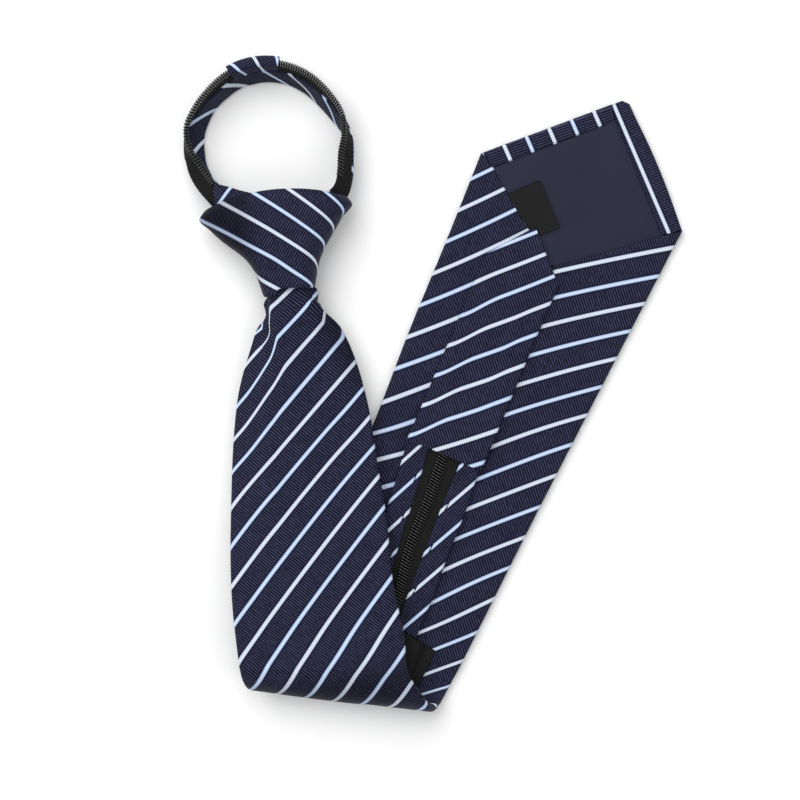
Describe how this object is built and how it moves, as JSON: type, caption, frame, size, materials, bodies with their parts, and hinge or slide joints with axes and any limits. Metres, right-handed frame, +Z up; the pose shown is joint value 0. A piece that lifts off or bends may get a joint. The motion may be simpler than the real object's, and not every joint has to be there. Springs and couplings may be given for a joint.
{
  "type": "zipper necktie",
  "caption": "Striped ready-knotted necktie on a zipper, lying on a surface: pre-tied knot, small zipped neck loop, blade folded under at the bottom with its back side up.",
  "frame": {"origin": "on the table, under the middle of the whole tie's bounding box", "axes": "+Z up from the table, +Y along the tie's length towards the neck loop, +X towards the folded-back blade's tip"},
  "size_m": [0.1832, 0.2416, 0.0221],
  "materials": {
    "striped_silk": "ribbed dark navy silk with slanting white and light blue stripes edged in darker blue",
    "tipping_satin": "plain dark navy satin lining",
    "label_satin": "bare black label ribbon",
    "zipper_tape": "black woven zipper tape with a black nylon coil"
  },
  "bodies": {
    "root": {"blade": "striped_silk", "tipping": "tipping_satin", "care_label": "label_satin", "keeper_label": "label_satin", "narrow_blade": "striped_silk", "tail_strip_left": "striped_silk", "tail_strip_right": "striped_silk", "tail_zipper": "zipper_tape", "knot_wrap": "striped_silk", "knot_back": "striped_silk", "neck_band_left": "striped_silk", "neck_band_right": "striped_silk", "neck_tape_left": "zipper_tape", "neck_tape_right": "zipper_tape", "neck_keeper": "striped_silk"}
  },
  "joints": []
}
